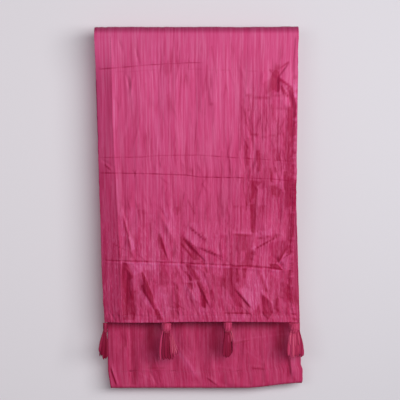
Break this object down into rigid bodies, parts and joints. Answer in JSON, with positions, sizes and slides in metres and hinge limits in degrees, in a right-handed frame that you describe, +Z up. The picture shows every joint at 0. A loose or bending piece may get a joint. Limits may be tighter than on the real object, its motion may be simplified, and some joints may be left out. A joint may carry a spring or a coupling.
{
  "type": "rod pocket curtain",
  "caption": "Crushed taffeta curtain panel draped over at its middle, with a stitched hem and self-fabric tassels in front and a sewn rod pocket behind.",
  "frame": {"origin": "axis of the round top fold, half way across the cloth, which is the axis of the bar that it hangs over", "axes": "+X across the cloth to the right as seen from the front flap, +Y from the front flap towards the rear flap, +Z up"},
  "size_m": [0.369, 0.0478, 0.6434],
  "materials": {
    "crushed_taffeta": "crushed taffeta with a soft satin sheen",
    "tassel_taffeta": "cut strips of the same taffeta",
    "binding_thread": "matte wound thread"
  },
  "bodies": {
    "root": {"curtain_panel": "crushed_taffeta", "tassel_1": "tassel_taffeta", "tassel_1_binding": "binding_thread", "tassel_2": "tassel_taffeta", "tassel_2_binding": "binding_thread", "tassel_3": "tassel_taffeta", "tassel_3_binding": "binding_thread", "tassel_4": "tassel_taffeta", "tassel_4_binding": "binding_thread"}
  },
  "joints": []
}
